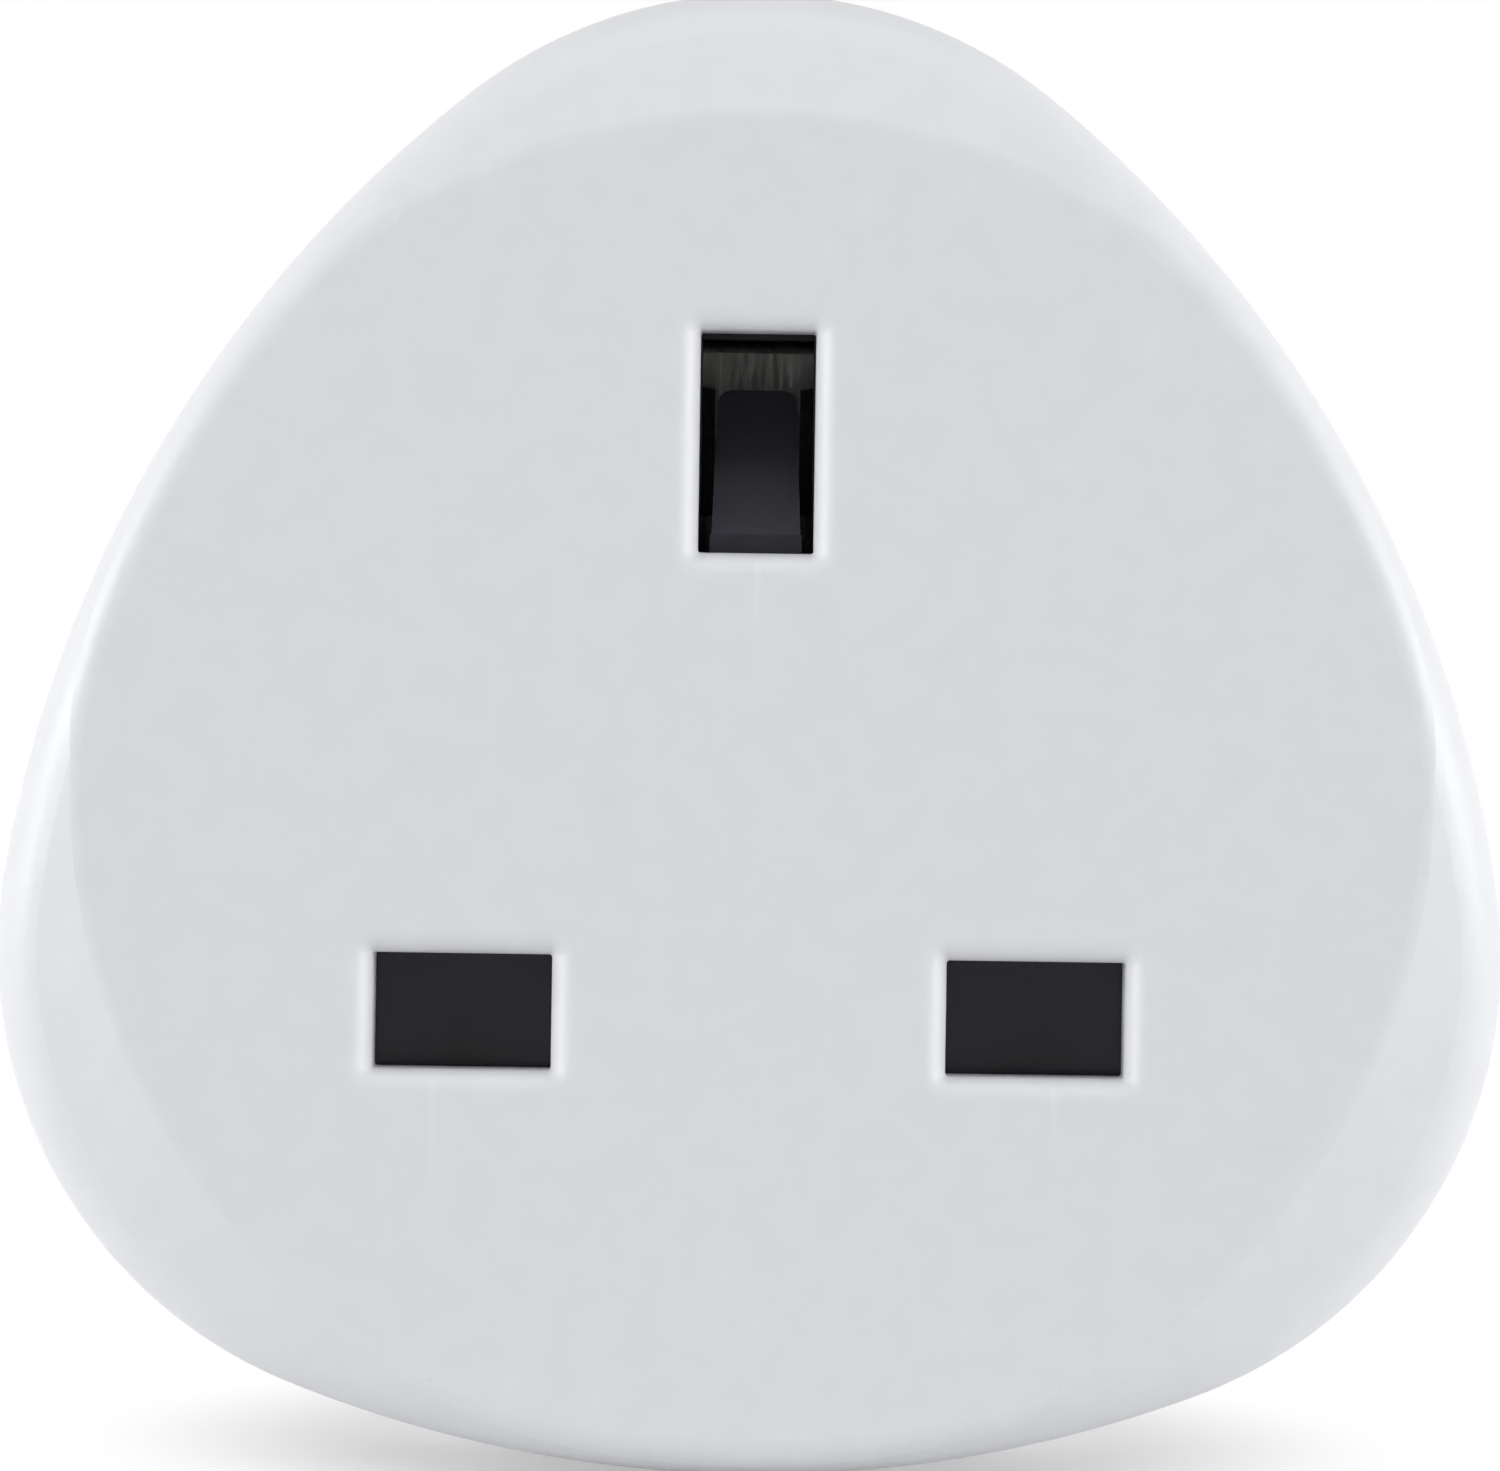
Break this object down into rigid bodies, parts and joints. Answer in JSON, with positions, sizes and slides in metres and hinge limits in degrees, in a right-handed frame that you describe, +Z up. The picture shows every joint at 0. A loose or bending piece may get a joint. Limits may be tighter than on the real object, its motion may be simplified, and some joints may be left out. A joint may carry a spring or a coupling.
{
  "type": "travel adapter",
  "caption": "Earthed travel adapter: a shuttered rectangular-slot socket face on a lobed moulded body, with a round-pin plug boss behind it.",
  "frame": {"origin": "centre of the plug face, between the two round pins", "axes": "+Y along the plug pins and out of the plug face, +X to the right as the socket face is seen, +Z up towards the earth slot"},
  "size_m": [0.0586, 0.062, 0.0576],
  "materials": {
    "white_shell": "satin moulded polycarbonate, cool white",
    "black_shutter": "glossy moulded black acetal",
    "black_carrier": "moulded black glass-filled nylon",
    "grey_plate": "moulded grey nylon",
    "contact_brass": "stamped and folded strip",
    "pin_nickel": "nickel-plated turned brass",
    "spring_steel": "drawn wire and strip",
    "screw_zinc": "zinc-plated steel"
  },
  "bodies": {
    "body": {"front_cover": "white_shell", "rear_housing": "white_shell", "shutter_spring": "spring_steel", "contact_carrier": "black_carrier", "live_contact": "contact_brass", "neutral_contact": "contact_brass", "earth_contact": "contact_brass", "live_clip": "spring_steel", "neutral_clip": "spring_steel", "earth_clip": "spring_steel", "live_pin": "pin_nickel", "neutral_pin": "pin_nickel", "pin_plate": "grey_plate", "earth_bridge": "pin_nickel", "earth_sleeve": "contact_brass", "earth_rivet": "contact_brass", "housing_screws": "screw_zinc", "carrier_screws": "screw_zinc"},
    "shutter_slider": {"shutter": "black_shutter"}
  },
  "joints": [
    {"name": "shutter_slide", "type": "slide", "parent": "body", "child": "shutter_slider", "axis": [0, 0, -1], "range_m": [0, 0.0064], "stiffness_N_per_m": 120, "springref_m": -0.004, "deforming": ["shutter_spring"]}
  ]
}
